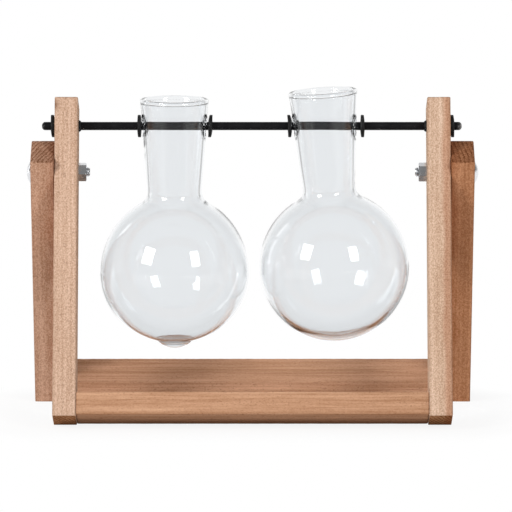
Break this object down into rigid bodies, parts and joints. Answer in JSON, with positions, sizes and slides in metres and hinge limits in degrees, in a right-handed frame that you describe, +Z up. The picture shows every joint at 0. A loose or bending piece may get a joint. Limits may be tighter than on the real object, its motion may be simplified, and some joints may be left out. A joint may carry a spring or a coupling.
{
  "type": "propagation vase",
  "caption": "Glass bulb vases hung by their necks on a black rod, held by a folding wooden stand, for rooting cuttings in water.",
  "frame": {"origin": "on the floor, under the pivot that both frames share and midway along it", "axes": "+X along the rod, +Y to the back of the stand, +Z up"},
  "size_m": [0.271, 0.1362, 0.1958],
  "materials": {
    "timber": "bare sanded hardwood strip",
    "screw_steel": "passivated wood screw",
    "zinc_steel": "bright zinc plate",
    "black_rod": "satin black",
    "black_rubber": "matte black rubber",
    "clear_glass": "clear blown glass"
  },
  "bodies": {
    "front_frame": {"left_post": "timber", "right_post": "timber", "front_rail": "timber", "front_rail_screws": "screw_steel"},
    "rear_frame": {"left_leg": "timber", "right_leg": "timber", "rear_rail": "timber", "rear_rail_screws": "screw_steel", "left_pivot_bolt": "zinc_steel", "right_pivot_bolt": "zinc_steel", "left_pivot_nut": "zinc_steel", "right_pivot_nut": "zinc_steel"},
    "rod": {"hanging_rod": "black_rod", "left_end_washer": "black_rubber", "right_end_washer": "black_rubber", "left_rod_stop": "black_rubber", "right_rod_stop": "black_rubber"},
    "left_washers": {"left_vase_outer_washer": "black_rubber", "left_vase_inner_washer": "black_rubber"},
    "left_vase": {"left_vase": "clear_glass"},
    "right_washers": {"right_vase_inner_washer": "black_rubber", "right_vase_outer_washer": "black_rubber"},
    "right_vase": {"right_vase": "clear_glass"}
  },
  "joints": [
    {"name": "rear_frame_fold", "type": "hinge", "parent": "front_frame", "child": "rear_frame", "pos_m": [0, 0, 0.14646], "axis": [1, 0, 0], "range_deg": [-30.51, 47.6]},
    {"name": "rod_turn", "type": "hinge", "parent": "front_frame", "child": "rod", "pos_m": [0, 0.01031, 0.17303], "axis": [1, 0, 0], "continuous": true},
    {"name": "left_vase_slide", "type": "slide", "parent": "front_frame", "child": "left_washers", "axis": [1, 0, 0], "range_m": [-0.012, 0.0027]},
    {"name": "left_vase_swing", "type": "hinge", "parent": "left_washers", "child": "left_vase", "pos_m": [0, 0.01031, 0.17303], "axis": [1, 0, 0], "continuous": true},
    {"name": "right_vase_slide", "type": "slide", "parent": "front_frame", "child": "right_washers", "axis": [1, 0, 0], "range_m": [-0.0027, 0.0095]},
    {"name": "right_vase_swing", "type": "hinge", "parent": "right_washers", "child": "right_vase", "pos_m": [0, 0.01031, 0.17303], "axis": [1, 0, 0], "continuous": true}
  ]
}
